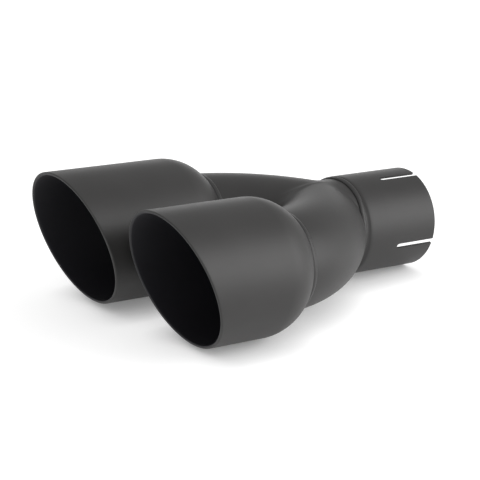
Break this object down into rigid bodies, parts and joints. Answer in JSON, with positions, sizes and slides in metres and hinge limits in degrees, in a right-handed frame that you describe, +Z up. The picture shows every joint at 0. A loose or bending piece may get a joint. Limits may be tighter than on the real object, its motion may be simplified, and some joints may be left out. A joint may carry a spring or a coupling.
{
  "type": "exhaust tip",
  "caption": "Twin exhaust tip with staggered slash-cut round outlets, bent branch pipes merging into one neck, and a slotted slip-on inlet sleeve, in satin black.",
  "frame": {"origin": "centre of the inlet sleeve's mouth", "axes": "+X along the sleeve's axis, out of its mouth towards the vehicle's tail pipe; the outlets face -X; +Y towards the far, longer outlet; +Z up on the vehicle"},
  "size_m": [0.2558, 0.187, 0.0888],
  "materials": {
    "outlet_coat": "satin",
    "pipe_coat": "satin",
    "weld_coat": "satin"
  },
  "bodies": {
    "root": {"near_tip": "outlet_coat", "far_tip": "outlet_coat", "near_branch_pipe": "pipe_coat", "far_branch_pipe": "pipe_coat", "inlet_sleeve": "pipe_coat", "near_tip_weld": "weld_coat", "far_tip_weld": "weld_coat", "sleeve_weld": "weld_coat"}
  },
  "joints": []
}
